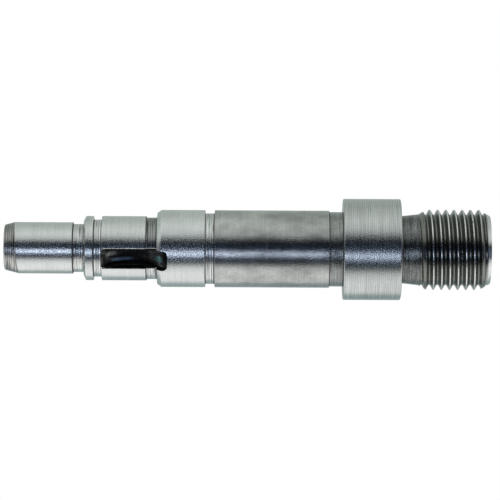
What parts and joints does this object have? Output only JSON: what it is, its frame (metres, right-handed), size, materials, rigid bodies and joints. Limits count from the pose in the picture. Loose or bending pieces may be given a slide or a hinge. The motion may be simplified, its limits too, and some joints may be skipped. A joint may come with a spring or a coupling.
{
  "type": "stepped shaft",
  "caption": "Stepped steel output shaft with a threaded end, flange, bearing and gear seats, a keyway and ring grooves.",
  "frame": {"origin": "centre of the threaded end's flat face, which the shaft stands on", "axes": "+Z along the shaft's axis, from the threaded end to the plain nose; the keyway opens towards -Y"},
  "size_m": [0.0158, 0.0158, 0.0755],
  "materials": {
    "steel": "satin"
  },
  "bodies": {
    "root": {"stepped_shaft": "steel"}
  },
  "joints": []
}
